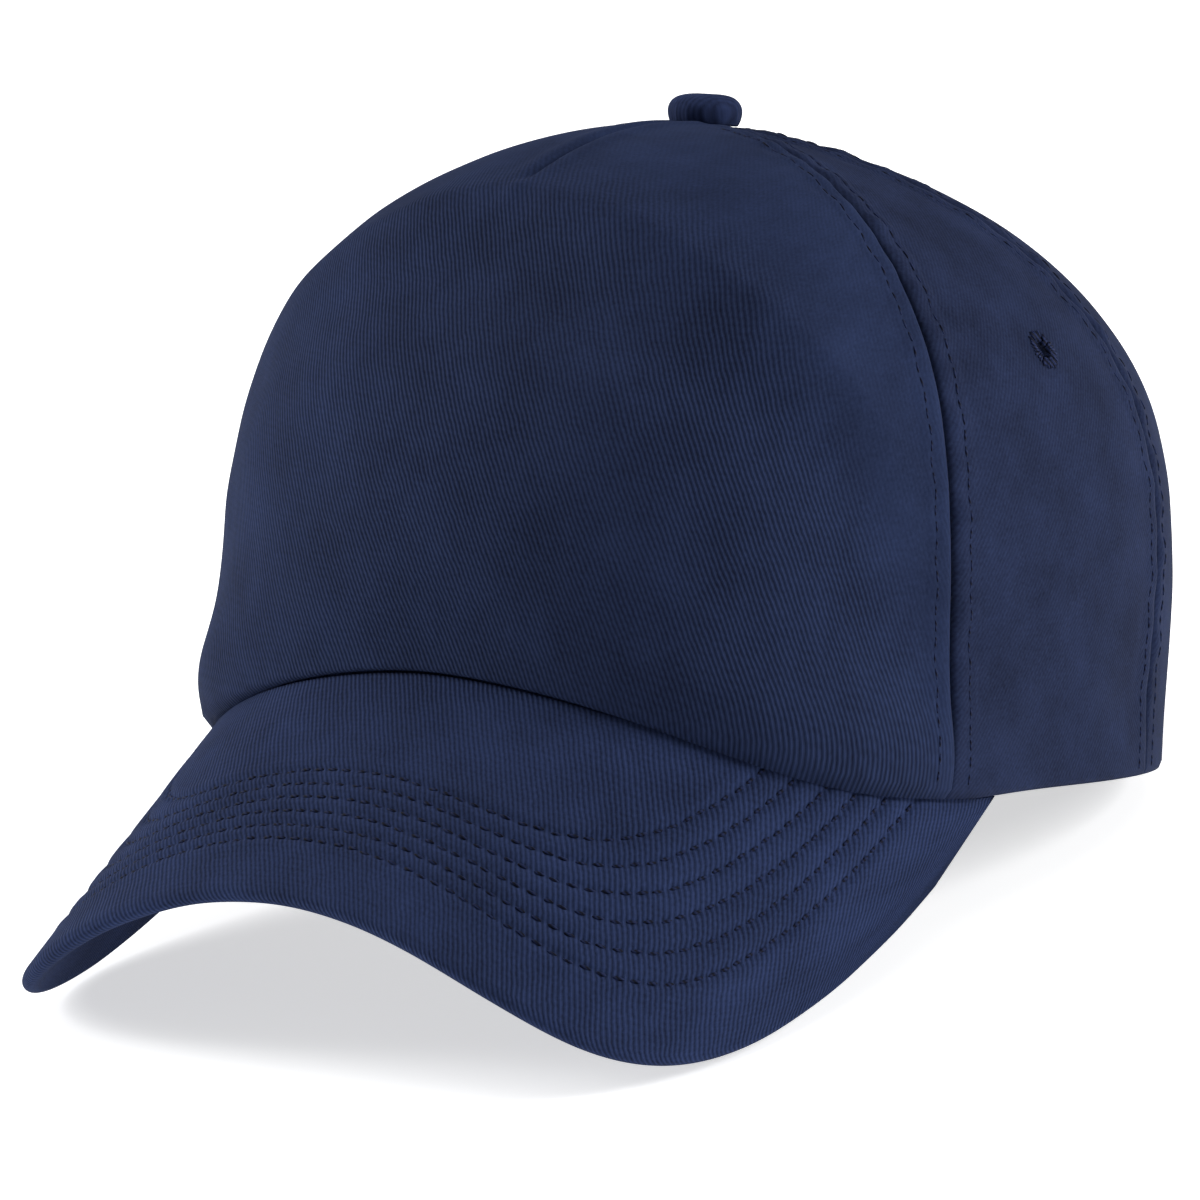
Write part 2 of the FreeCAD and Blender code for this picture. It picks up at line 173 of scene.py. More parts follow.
def walked(points, axis):
    """Distance walked over a grid of points along one axis."""
    steps = np.linalg.norm(np.diff(points, axis=axis), axis=-1)
    pad = [(0, 0), (0, 0)]
    pad[axis] = (1, 0)
    return np.cumsum(np.pad(steps, pad), axis=axis)


def plain(u, v, across, upward, points):
    """No relief. Every relief is given the grid's shares u and v, the distances walked
    across and up it, and its points."""
    return 0 * u


def cloth_grid(name, columns, rows, place, relief=plain, holes=(), closed=False):
    """Cloth made from a grid. place(u, v) gives points, relief moves them along their
    normals, and the UV map holds the flat cut of the piece, in metres. A closed piece is
    joined where its edges meet and filled at its ends."""
    cloth = bmesh.new()
    bmesh.ops.create_grid(cloth, x_segments=columns, y_segments=rows, size=1.0)
    shares = np.array([vert.co[:2] for vert in cloth.verts]) / 2 + 0.5
    order = np.lexsort((shares[:, 0].round(6), shares[:, 1].round(6)))
    shape = (rows + 1, columns + 1)
    u = shares[order, 0].reshape(shape)
    v = shares[order, 1].reshape(shape)
    points = place(u, v)
    across, upward = walked(points, 1), walked(points, 0)
    points = points + grid_normals(points) * relief(u, v, across, upward, points)[..., None]
    middle = columns // 2
    flat = np.stack([across - across[:, middle:middle + 1],
                     np.broadcast_to(upward[:, middle:middle + 1], shape)], -1) / 1000
    flat = flat.reshape(-1, 2)[np.argsort(order)]
    spots = standing(points.reshape(-1, 3))[np.argsort(order)]
    for vert, spot in zip(cloth.verts, spots):
        vert.co = spot
    chart = cloth.loops.layers.uv.new("cut")
    for face in cloth.faces:
        for loop in face.loops:
            loop[chart].uv = flat[loop.vert.index]
    for centre, reach in holes:
        inside = [vert for vert in cloth.verts if (vert.co - centre).length < reach]
        bmesh.ops.delete(cloth, geom=inside, context="VERTS")
    if closed:
        bmesh.ops.remove_doubles(cloth, verts=cloth.verts, dist=0.00002)
        edges = [edge for edge in cloth.edges if edge.is_boundary]
        bmesh.ops.holes_fill(cloth, edges=edges, sides=0)
        bmesh.ops.recalc_face_normals(cloth, faces=cloth.faces)
    return made(name, cloth)


def made(name, mesh, smooth=True):
    """Object at the origin from a bmesh."""
    data = bpy.data.meshes.new(name)
    mesh.to_mesh(data)
    mesh.free()
    data.shade_smooth() if smooth else data.shade_flat()
    piece = bpy.data.objects.new(name, data)
    bpy.context.scene.collection.objects.link(piece)
    return piece


def thicken(piece, thickness, offset=-1.0):
    wall = piece.modifiers.new("thickness", "SOLIDIFY")
    wall.thickness = thickness / 1000
    wall.offset = offset
    wall.use_even_offset = False
    return piece


def dress(piece, material, slot, body, *nodes):
    """Material, slot, body and the solids that a piece stands for. The slot is not used.
    A piece that bends between two bodies is given no body here."""
    piece.data.materials.clear()
    piece.data.materials.append(material)
    if body:
        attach(piece, body)
    if nodes:
        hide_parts(*nodes)
    return piece


def near(distance, width):
    return np.exp(-(distance / width) ** 2)


def ease(value, low, high):
    share = np.clip((value - low) / (high - low), 0, 1)
    return share * share * (3 - 2 * share)


def wander(points, size, seed):
    """Soft random undulation, about -1 to 1, with a wavelength of a few sizes."""
    flat = points.reshape(-1, 3) / size + seed
    return np.array([noise.noise(spot) for spot in flat]).reshape(points.shape[:-1])


def add_node(tree, kind, inputs, **settings):
    """Node with its settings, each input given as a value or as the socket it takes."""
    node = tree.nodes.new(kind)
    for name, value in settings.items():
        setattr(node, name, value)
    for socket, value in inputs.items():
        if isinstance(value, bpy.types.NodeSocket):
            tree.links.new(value, node.inputs[socket])
        else:
            node.inputs[socket].default_value = value
    return node


def paint(code):
    """Linear colour of an sRGB hex value."""
    shades = [int(code[index:index + 2], 16) / 255 for index in (0, 2, 4)]
    return [((c + 0.055) / 1.055) ** 2.4 if c > 0.04045 else c / 12.92 for c in shades] + [1.0]


def new_material(name):
    material = bpy.data.materials.new(name)
    material.use_nodes = True
    material.node_tree.nodes.clear()
    return material, material.node_tree


def twill(name, dark, light, wale, float_length, lean, contrast, bump, crest=1.0):
    """Woven twill: slanting wales, each a row of short floats of yarn. The grain follows
    the cut of the piece, and its sizes are millimetres. Above a crest, a height in metres up
    the middle of the cut that falls away to both sides, the wales' bump is flattened and
    their colour contrast is evened out as painted light: the contrast below the crest stands
    for the light the wales catch there."""
    material, tree = new_material(name)
    cut = add_node(tree, "ShaderNodeTexCoord", {}).outputs["UV"]
    grain = add_node(tree, "ShaderNodeMapping",
                     {"Vector": cut, "Rotation": (0, 0, math.radians(lean))}).outputs[0]
    axes = add_node(tree, "ShaderNodeSeparateXYZ", {"Vector": grain})
    drift = add_node(tree, "ShaderNodeTexNoise", {"Vector": cut, "Scale": 170.0, "Detail": 2.0})
    shift = add_node(tree, "ShaderNodeMath", {0: drift.outputs["Fac"], 1: 0.8},
                     operation="MULTIPLY").outputs[0]
    count = add_node(tree, "ShaderNodeMath", {0: axes.outputs[0], 1: 1000 / wale, 2: shift},
                     operation="MULTIPLY_ADD").outputs[0]
    wales = add_node(tree, "ShaderNodeMath", {0: count, 1: 0.5}, operation="PINGPONG").outputs[0]
    wale_number = add_node(tree, "ShaderNodeMath", {0: count}, operation="FLOOR").outputs[0]
    stagger = add_node(tree, "ShaderNodeMath", {0: wale_number, 1: 0.37},
                       operation="MULTIPLY").outputs[0]
    along = add_node(tree, "ShaderNodeMath",
                     {0: axes.outputs[1], 1: 1000 / float_length, 2: stagger},
                     operation="MULTIPLY_ADD").outputs[0]
    floats = add_node(tree, "ShaderNodeMath", {0: along, 1: 0.5}, operation="PINGPONG").outputs[0]
    weave = add_node(tree, "ShaderNodeMath", {0: floats, 1: 0.16, 2: wales},
                     operation="MULTIPLY_ADD").outputs[0]
    flat = add_node(tree, "ShaderNodeSeparateXYZ", {"Vector": cut})
    aside = add_node(tree, "ShaderNodeMath", {0: flat.outputs[0], 1: flat.outputs[0]},
                     operation="MULTIPLY").outputs[0]
    over = add_node(tree, "ShaderNodeMath", {0: aside, 1: 9.0, 2: flat.outputs[1]},
                    operation="MULTIPLY_ADD").outputs[0]
    # Above the crest the wales are flattened in the bump and evened out in colour; the colour part
    # is painted light.
    pressed_wales_and_painted_light = add_node(tree, "ShaderNodeMapRange", {"Value": over, "From Min": crest - 0.008,
                                                    "From Max": crest + 0.014, "To Max": 0.85})
    weave = add_node(tree, "ShaderNodeMix", {"Factor": pressed_wales_and_painted_light.outputs[0], 2: weave, 3: 0.29},
                     data_type="FLOAT").outputs[0]
    cloudy = add_node(tree, "ShaderNodeTexNoise", {"Vector": cut, "Scale": 45.0, "Detail": 7.0,
                                                   "Roughness": 0.7})
    lint = add_node(tree, "ShaderNodeTexNoise", {"Vector": cut, "Scale": 1400.0, "Detail": 2.0})
    uneven = add_node(tree, "ShaderNodeMath",
                      {0: lint.outputs["Fac"], 1: 0.55, 2: cloudy.outputs["Fac"]},
                      operation="MULTIPLY_ADD").outputs[0]
    tone = add_node(tree, "ShaderNodeMath", {0: weave, 1: contrast, 2: uneven},
                    operation="MULTIPLY_ADD").outputs[0]
    colour = add_node(tree, "ShaderNodeMapRange",
                      {"Value": tone, "From Min": 0.48, "From Max": 1.02 + 0.42 * contrast})
    dye = add_node(tree, "ShaderNodeMix", {"Factor": colour.outputs[0], 6: paint(dark),
                                           7: paint(light)}, data_type="RGBA")
    relief = add_node(tree, "ShaderNodeBump", {"Height": weave, "Distance": bump / 1000})
    cloth = add_node(tree, "ShaderNodeBsdfPrincipled",
                     {"Base Color": dye.outputs[2], "Normal": relief.outputs[0],
                      "Roughness": 0.9, "Specular IOR Level": 0.08, "Sheen Weight": 0.04,
                      "Sheen Roughness": 0.5, "Sheen Tint": paint("5a6a9c")})
    add_node(tree, "ShaderNodeOutputMaterial", {"Surface": cloth.outputs[0]})
    return material


# Cotton drill, a 3/1 twill dyed navy: matt, with fine slanting wales 0.9 mm apart that
# catch the light on one side. On the lined front the wales stand out most, up to the brow
# at the dart's lower end, 108 mm up the cut; their strong colour contrast there, evened out
# above the brow, is painted light for the light the wales catch on the steep front.
front_drill = twill("navy_cotton_drill_front", "050816", "293556", 0.9, 1.6, -26.0, 1.3, 0.34,
                    crest=0.108)

stitch_offset, stitch_pitch, near_top = 4.6, 3.1, 6.0
cloth_thickness, turn_radius, turn_length = 0.6, 0.7, 8.0
hem_rows_share, row_spread = 0.09, 1.35
dart_rise, rise_length = 0.603, 165.0
ridge_angle, ridge_drop, ridge_height, ridge_width = math.radians(42.0), 0.19, 4.3, 15.0
hollow_depth, hollow_drop, hollow_width = 2.6, 24.0, 15.0
ridge_round, brow_end = 1.4, math.radians(48.0)
brow_middle, brow_spread = math.radians(9.0), math.radians(50.0)
flare_angle, flare_spread, flare_out = math.radians(52.0), math.radians(20.0), 5.0
flare_height, flare_fade = 6.0, 13.0


def seam_relief(distance, along, seed, points):
    """The cloth dives into a seam, lies higher over its allowance, and is drawn down
    under the stitches with small puckers between them. It lies flat under the button."""
    dive = -1.25 * near(distance, 0.9)
    allowance = 0.42 * (1 - ease(distance, stitch_offset + 0.4, stitch_offset + 2.4))
    drawn = -0.34 * near(distance - stitch_offset, 0.7)
    pucker = 0.24 * np.sin(along * 2 * math.pi / (3 * stitch_pitch) + seed)
    pucker = pucker + 0.16 * np.sin(along * 2 * math.pi / (5.3 * stitch_pitch) + 2 * seed)
    pucker = pucker * near(distance - 3, 5.0) * ease(distance, 0.3, 2.5)
    from_top = ease(np.hypot(points[..., 0], points[..., 1]), near_top, 2.5 * near_top)
    return (dive + allowance + drawn + pucker) * from_top


def soft_relief(points):
    """Easy unevenness of the made-up crown, the same for every layer of it."""
    return 0.62 * wander(points, 36.0, 3.0) + 0.14 * wander(points, 11.0, 8.0)


def brow_relief(points):
    """The dart throws a brow across the front panel, with a shallow hollow under it."""
    theta = angle_of(points)
    rise = rise_at_height(theta, points[..., 2])
    ridge = dart_rise - ridge_drop * (theta / ridge_angle) ** 2
    above = (rise - ridge) * rise_length
    brow = ridge_height * np.exp(-np.hypot(above, ridge_round) / ridge_width)
    brow = brow - hollow_depth * near(above + hollow_drop, hollow_width)
    sides = 1 - ease(np.abs(theta), brow_end, front_seam)
    return brow * near(theta - brow_middle, brow_spread) * sides


def flare_relief(points):
    """The crown's hem is pushed outwards above the visor's two shoulders."""
    around = near(np.abs(angle_of(points)) - flare_angle, flare_spread)
    return flare_out * around * near(over_hem(points) - flare_height, flare_fade)


def hem_turn(v, floor, radius, length):
    """Height over the floor line and depth of the cloth as it turns under at the hem."""
    walk = (v / hem_rows_share - 1) * (length + math.pi / 2 * radius) + math.pi / 2 * radius
    angle = np.clip(walk / radius, -math.pi / 2, math.pi / 2)
    height = radius * (1 - np.cos(angle)) + np.maximum(-walk - math.pi / 2 * radius, 0)
    depth = radius * (1 - np.sin(angle))
    return floor + height, depth


def panel_points(theta, v, floor, radius, length):
    """Points of a crown panel: turned hem in the first rows, then up to the button."""
    height, depth = hem_turn(np.minimum(v, hem_rows_share), floor, radius, length)
    upward = np.clip((v - hem_rows_share) / (1 - hem_rows_share), 0, 1)
    low = rise_at_height(theta, height)
    high = rise_at_radius(theta, crown_hole)
    rise = low + (high - low) * upward ** row_spread
    points = crown_surface(theta, rise)
    return points + inward_of(theta, rise) * depth[..., None]


def panel_place(start, end):
    """Place function of a whole panel between two seams."""
    def place(u, v):
        theta = start + (end - start) * u
        return panel_points(theta, v, hem_height(theta), turn_radius + 0 * u, turn_length)
    return place


def front_relief(u, v, across, upward, points):
    width = across[:, -1:]
    rise = rise_at_height(front_seam * (2 * u - 1), points[..., 2])
    seams = seam_relief(across, upward, 0.3, points)
    seams = seams + seam_relief(width - across, upward, 1.7, points)
    middle = np.abs(across - width / 2)
    dart = ease(rise, dart_rise, dart_rise + 0.07)
    fold = (-1.1 * near(middle, 0.9) + 0.5 * near(middle - 2.6, 2.2)) * dart
    pinch = 0.7 * near(middle, 2.2) * near((rise - dart_rise) * rise_length + 1.0, 3.0)
    made_up = seams + fold + pinch + soft_relief(points) + brow_relief(points)
    return made_up * ease(v, hem_rows_share, hem_rows_share + 0.06) + flare_relief(points)


front_panel = cloth_grid("front_panel_cloth", 230, 170, panel_place(-front_seam, front_seam),
                         front_relief)
thicken(front_panel, cloth_thickness)
dress(front_panel, front_drill, "cotton_drill", "crown", "front_panel")


# ---------- Side and rear panels ----------
# Four gores of the same drill, unlined and a little softer, so they are less smooth than
# the front. The two rear gores are cut away at the bottom for the arched opening, and
# each gore has a small sewn air hole.

opening_angle, opening_height = math.radians(27.0), 46.0
side_hole = (math.radians(96.0), 84.0)
rear_hole = (math.radians(150.0), 84.0)
hole_cut = 2.5
dimple_angle, dimple_height = math.radians(112.0), 12.0
dimple_depth, dimple_width, dimple_tall = 1.3, 11.0, 9.0


def crown_spot(theta, height):
    """Point on the standing crown at an angle and a height over the hem."""
    theta = np.array(theta)
    point = crown_surface(theta, rise_at_height(theta, np.array(height)))
    return Vector(standing(point))


def rear_place(side):
    """Columns over the opening are spaced round the arch, so its edge is smooth."""
    arch_share = 0.5

    def place(u, v):
        u = u if side > 0 else 1 - u
        sweep = np.clip((u - 1 + arch_share) / arch_share, 0, 1) * math.pi / 2
        plain = rear_seam + (math.pi - opening_angle - rear_seam) * u / (1 - arch_share)
        theta = np.where(u < 1 - arch_share, plain, math.pi - opening_angle * np.cos(sweep))
        floor = opening_height * np.sin(sweep)
        over = ease(sweep, 0.0, 0.12)
        radius = turn_radius - 0.4 * over
        return panel_points(side * theta, v, floor, radius, 0.6 + (turn_length - 0.6) * (1 - over))
    return place


def gore_relief(seed):
    def relief(u, v, across, upward, points):
        width = across[:, -1:]
        seams = seam_relief(across, upward, seed, points)
        seams = seams + seam_relief(width - across, upward, seed + 2, points)
        aside = (angle_of(points) - dimple_angle) * hem_half_width
        dimple = -dimple_depth * near(aside, dimple_width)
        dimple = dimple * near(points[..., 2] - dimple_height, dimple_tall)
        made_up = seams + soft_relief(points) + dimple
        rising = ease(v, hem_rows_share, hem_rows_share + 0.06)
        return made_up * rising + flare_relief(points)
    return relief


# The same drill on the unlined gores, where the wales lie flatter.
gore_drill = twill("navy_cotton_drill_gore", "0b1021", "252f4d", 0.9, 1.6, 38.0, 0.3, 0.08)

gores = {}
for side, name in ((1, "left"), (-1, "right")):
    spot = crown_spot(side * side_hole[0], side_hole[1])
    place = panel_place(*sorted((side * front_seam, side * rear_seam)))
    gore = cloth_grid("side_panel_cloth_" + name, 70, 110, place, gore_relief(4.0 + side),
                      [(spot, hole_cut / 1000)])
    thicken(gore, cloth_thickness)
    gores["side", side] = dress(gore, gore_drill, "cotton_drill", "crown", "side_panel_" + name)
    spot = crown_spot(side * rear_hole[0], rear_hole[1])
    gore = cloth_grid("rear_panel_cloth_" + name, 80, 110, rear_place(side),
                      gore_relief(9.0 + side), [(spot, hole_cut / 1000)])
    thicken(gore, cloth_thickness)
    gores["rear", side] = dress(gore, gore_drill, "cotton_drill", "crown", "rear_panel_" + name)


# ---------- Visor ----------
# A moulded board between two covers of drill, sewn together with six rows that follow the
# edge. The covers meet in a rounded edge. The sewing draws the cloth down into shallow
# channels, and the whole visor is pressed to a curve.

visor_reach, visor_power, visor_root = 49.0, 3.5, 0.61
visor_end_share = 0.985
visor_top_depth, visor_thickness = 0.9, 3.5
visor_tuck, visor_end_gap = 1.4, 0.8
visor_rows = 6
outer_row, inner_row = (12.3, 108.4), (27.6, 80.8)
row_power, visor_stitch = 4.17, 3.3


def visor_point(along, y, depth):
    bend = along / visor_arch_radius
    spot = np.stack([visor_arch_radius * np.sin(bend), y, arch_height(bend, y)], -1)
    normal = unit(np.stack([np.sin(bend), -visor_fall * np.cos(bend), np.cos(bend)], -1))
    return spot - normal * np.asarray(depth)[..., None]


def visor_outline(along):
    """Y of the visor's back and front edges along its arc."""
    bend = along / visor_arch_radius
    x = visor_arch_radius * np.sin(bend)
    hem_y = hem_front_y(x)
    below = hem_height(np.arctan2(x, -hem_y)) - arch_height(bend, hem_y)
    tuck = visor_tuck * np.cos(bend) - visor_end_gap * (1 - np.cos(bend))
    share = np.abs(along) / (visor_arch_radius * visor_wrap)
    length = visor_reach + hem_front_length + corner_y
    width = length * (1 - share ** visor_power).clip(0, 1) ** visor_root
    return hem_y + below / visor_fall + tuck, corner_y - width


def visor_row(index, count=600):
    """Points of one sewn row, over the top cover."""
    share = index / (visor_rows - 1)
    inset = outer_row[0] + (inner_row[0] - outer_row[0]) * share
    half = outer_row[1] + (inner_row[1] - outer_row[1]) * share
    along = half * np.sin(np.linspace(-math.pi / 2, math.pi / 2, count))
    length = visor_reach + hem_front_length + corner_y - inset
    y = corner_y - length * (1 - np.abs(along / half) ** row_power).clip(0, 1) ** 0.5
    back = visor_outline(along)[0]
    keep = y < back - 1.0
    return along[keep], y[keep]


rows = [visor_row(index) for index in range(visor_rows)]
rows_above = [visor_point(along, y, visor_top_depth + 0 * y) for along, y in rows]
rows_below = [visor_point(along, y, visor_top_depth + visor_thickness + 0 * y)
              for along, y in rows]


def line_walk(line):
    steps = np.linalg.norm(np.diff(line, axis=0), axis=1)
    return np.concatenate([[0.0], np.cumsum(steps)])


def nearest_row(points):
    """Distance from each point to the nearest sewn row on either cover, and how far along
    that row it is."""
    spots = np.concatenate(rows_above + rows_below)
    walks = np.concatenate([line_walk(line) for line in rows_above + rows_below])
    tree = KDTree(len(spots))
    for index, spot in enumerate(spots):
        tree.insert(spot, index)
    tree.balance()
    found = [tree.find(spot) for spot in points.reshape(-1, 3)]
    distance = np.array([hit[2] for hit in found]).reshape(points.shape[:-1])
    walk = walks[[hit[1] for hit in found]].reshape(points.shape[:-1])
    return distance, walk


def visor_place(u, v):
    """Round the visor: back of the top cover, forwards, over the edge and back below."""
    along = visor_end_share * np.sin(math.pi / 2 * (1 - 2 * u)) * visor_arch_radius * visor_wrap
    back, front = visor_outline(along)
    half = visor_thickness / 2
    closing = np.sqrt(1 - ease(np.abs(2 * u - 1), 0.955, 1.0) ** 2)
    centre = front + half
    flat = 0.44
    angle = (v - flat) / (1 - 2 * flat) * math.pi
    over = (v >= flat) & (v <= 1 - flat)
    forward = np.where(v < 0.5, v / flat, (1 - v) / flat)
    y = np.where(over, centre - half * np.sin(angle), back + (centre - back) * forward)
    rise = np.where(over, np.cos(angle), np.where(v < 0.5, 1.0, -1.0))
    rise = rise * closing * ease(forward, -0.001, 0.02)
    middle = visor_top_depth + half
    return visor_point(along, y, middle - half * rise)


def visor_relief(u, v, across, upward, points):
    distance, walk = nearest_row(points)
    pull = 0.72 + 0.28 * np.cos(2 * math.pi * (walk / visor_stitch - 0.5))
    channel = -0.68 * near(distance, 0.8) * pull + 0.16 * near(distance - 2.4, 1.3)
    soft = 0.14 * wander(points, 16.0, 21.0) - 0.9 * (1 - ease(upward, 0.0, 5.0))
    away = 1 - near(v, 0.02) - near(1 - v, 0.02)
    ends = 1 - ease(np.abs(2 * u - 1), 0.94, 0.97)
    return (channel + soft) * away * ends


# The same drill, cut so that its wales slant across the visor.
visor_drill = twill("navy_cotton_drill_visor", "070b18", "2d3a5f", 0.9, 1.6, -33.0, 1.15, 0.28)

visor = cloth_grid("visor_cloth", 380, 240, visor_place, visor_relief, closed=True)
dress(visor, visor_drill, "cotton_drill", "crown", "visor_top_cover", "visor_under_cover")


# ---------- Seam sewing ----------
# Each crown seam is opened flat and sewn down with a twin needle, one row on either side,
# in navy polyester thread. The visor's six rows are lock stitches through all its layers.

thread_width, visor_thread, float_share = 0.55, 0.8, 0.76
wave_scale = 314.0  # scale of a wave pattern times its spacing in millimetres


def cloth_tree(*pieces):
    """The cloth of one or more pieces, for finding the nearest place on it."""
    spots, faces = [], []
    for piece in pieces:
        first = len(spots)
        spots += [vert.co for vert in piece.data.vertices]
        faces += [[first + index for index in face.vertices] for face in piece.data.polygons]
    return BVHTree.FromPolygons(spots, faces)


def sew(stitches, line, cloth, pitch, width, facing, lift):
    """One row of stitches: a plump float of thread in every pitch, lying on the cloth."""
    walk = line_walk(line)
    spots = standing(line)
    row = bmesh.new()
    for start in np.arange(0.0, walk[-1] - pitch, pitch):
        ends = [Vector([np.interp(start + share * pitch, walk, spots[:, axis])
                        for axis in range(3)]) for share in (0.1, 0.9)]
        spot, normal = cloth.find_nearest((ends[0] + ends[1]) / 2)[:2]
        normal = normal * facing
        side = normal.cross(ends[1] - ends[0]).normalized()
        along = side.cross(normal)
        axes = Matrix((side, normal, along)).transposed().to_4x4()
        size = Matrix.Diagonal((width, width, pitch * float_share, 1000.0)) * 0.001
        place = Matrix.Translation(spot + normal * lift / 1000) @ axes @ size
        bmesh.ops.create_uvsphere(row, u_segments=6, v_segments=5, radius=0.5, matrix=place)
    sewn = bpy.data.meshes.new("row")
    row.to_mesh(sewn)
    row.free()
    stitches.from_mesh(sewn)
    bpy.data.meshes.remove(sewn)


def thread_material(name, dark, light, twist):
    """Filament polyester sewing thread: satin, with a fine slanting ply twist."""
    material, tree = new_material(name)
    spot = add_node(tree, "ShaderNodeTexCoord", {}).outputs["Object"]
    ply = add_node(tree, "ShaderNodeTexWave", {"Vector": spot, "Scale": wave_scale / twist,
                                               "Distortion": 2.0, "Detail": 1.0},
                   bands_direction="DIAGONAL")
    dye = add_node(tree, "ShaderNodeMix", {"Factor": ply.outputs["Fac"], 6: paint(dark),
                                           7: paint(light)}, data_type="RGBA")
    relief = add_node(tree, "ShaderNodeBump", {"Height": ply.outputs["Fac"],
                                               "Distance": 0.00006})
    thread = add_node(tree, "ShaderNodeBsdfPrincipled",
                      {"Base Color": dye.outputs[2], "Normal": relief.outputs[0],
                       "Roughness": 0.7, "Specular IOR Level": 0.12})
    add_node(tree, "ShaderNodeOutputMaterial", {"Surface": thread.outputs[0]})
    return material


# Navy polyester thread, plied about every 0.4 mm; it is drawn at 0.8 mm so that it shows.
# Its colour is darker than the cloth: painted shade, for stitches sunk into the cloth.
seam_thread_painted_shade = thread_material("navy_polyester_thread_painted_shade", "050817", "1c2648", 0.8)


def sew_rows(name, lines, cloth, pitch=stitch_pitch, width=thread_width, body="crown",
             facing=1.0, lift=0.0):
    """Rows of stitches in sewing thread, as one piece."""
    stitches = bmesh.new()
    for line in lines:
        sew(stitches, line, cloth, pitch, width, facing, lift)
    dress(made(name, stitches), seam_thread_painted_shade, "eyelet_thread", body)


def seam_line(theta, offset, low, high, depth=0.0, count=160):
    """A row beside a seam, from a height over the hem to a radius round the button."""
    theta = np.full(count, theta)
    low = rise_at_height(theta, hem_height(theta) + low)
    high = rise_at_radius(theta, high)
    rise = low + (high - low) * np.linspace(0, 1, count)
    plan = crown_surface(theta, rise)
    spread = np.arcsin(offset / np.hypot(plan[:, 0], plan[:, 1]))
    return crown_inside(theta + spread, rise, depth + 0 * theta)


shell_cloth = cloth_tree(front_panel, *gores.values())
seams = (("front_left", front_seam, 1.0), ("front_right", -front_seam, 1.0),
         ("rear_left", rear_seam, 1.0), ("rear_right", -rear_seam, 1.0),
         ("rear_centre", math.pi, opening_height + 8.0))
twin_rows = (-stitch_offset, stitch_offset)
for name, angle, low in seams:
    sew_rows("seam_stitches_" + name,
             [seam_line(angle, offset, low, 9.0) for offset in twin_rows], shell_cloth)

visor_cloth = cloth_tree(visor)
for name, lines in (("top", rows_above), ("under", rows_below)):
    sew_rows("visor_stitches_" + name, lines, visor_cloth, visor_stitch, visor_thread)


# ---------- Air eyelets ----------
# Four small holes, worked over and over with navy embroidery thread on a machine: radial
# satin stitches on both faces of the cloth and down through the hole.

eyelet_inner, eyelet_outer, eyelet_threads = 2.0, 4.1, 30
embroidery_width = 0.62

# Navy embroidery thread, a shade lighter than the sewing thread, its ply drawn at 0.7 mm.
embroidery = thread_material("navy_embroidery_thread", "070b1c", "222d52", 0.7)

for name, hole, side in (("side_left", side_hole, 1), ("side_right", side_hole, -1),
                         ("rear_left", rear_hole, 1), ("rear_right", rear_hole, -1)):
    gore = cloth_tree(gores[name.split("_")[0], side])
    spot = crown_spot(side * hole[0], hole[1])
    normal = gore.find_nearest(spot)[1]
    aside = normal.orthogonal().normalized()
    ring = bmesh.new()
    for index in range(eyelet_threads):
        turn = Matrix.Rotation(2 * math.pi * index / eyelet_threads, 3, normal)
        radial = turn @ aside
        reach = eyelet_outer + 0.25 * math.sin(index * 2.4)
        middle, length = (eyelet_inner + reach) / 2, reach - eyelet_inner
        foot = gore.find_nearest(spot + radial * middle / 1000)[0]
        floats = ((foot + normal * 0.0001, radial, length),
                  (foot - normal * 0.0007, radial, length),
                  (foot - normal * 0.0003 - radial * length / 2000, normal, 1.5))
        for centre, along, long in floats:
            axes = along.to_track_quat("Z", "Y").to_matrix().to_4x4()
            size = Matrix.Diagonal((embroidery_width, embroidery_width, long, 1000.0)) * 0.001
            place = Matrix.Translation(centre) @ axes @ size
            bmesh.ops.create_uvsphere(ring, u_segments=6, v_segments=5, radius=0.5, matrix=place)
    dress(made("eyelet_threads_" + name, ring), embroidery, "eyelet_thread", "crown",
          "eyelet_" + name)


# ---------- Button ----------
# A pressed steel cap covered with the same drill, gathered under its rim, on a rivet shank
# through the middle of the crown, with a washer inside.

button_reach, button_foot, button_waist, button_top = 7.4, -0.2, 2.6, 6.0


def button_place(u, v):
    """Up from the gathered underside, round the rim and over to the middle."""
    around = 2 * math.pi * u
    angle = np.radians(-38 + 128 * v)
    radius = button_reach * np.cos(angle).clip(0, 1) ** 0.5
    below = button_waist + (button_waist - button_foot) * np.sin(angle) / math.sin(math.radians(38))
    above = button_waist + (button_top - button_waist) * np.sin(angle)
    height = crown_height + np.where(angle < 0, below, above)
    return np.stack([radius * np.sin(around), -radius * np.cos(around), height], -1)


def button_relief(u, v, across, upward, points):
    gathers = 0.09 * np.sin(26 * math.pi * u + 1.5 * np.sin(6 * math.pi * u))
    return gathers * (1 - ease(v, 0.2, 0.62)) + 0.12 * wander(points, 3.0, 5.0)


# The drill again, on a piece small enough for its wales to run straight across.
button_drill = twill("navy_cotton_drill_button", "0a0e1f", "2c385c", 0.9, 1.6, 25.0, 0.5, 0.10)

button = cloth_grid("button_cloth", 72, 36, button_place, button_relief, closed=True)
chart = button.data.uv_layers["cut"].data
for loop in button.data.loops:
    chart[loop.index].uv = button.data.vertices[loop.vertex_index].co.xy
dress(button, button_drill, "cotton_drill", "crown", "button_cover")

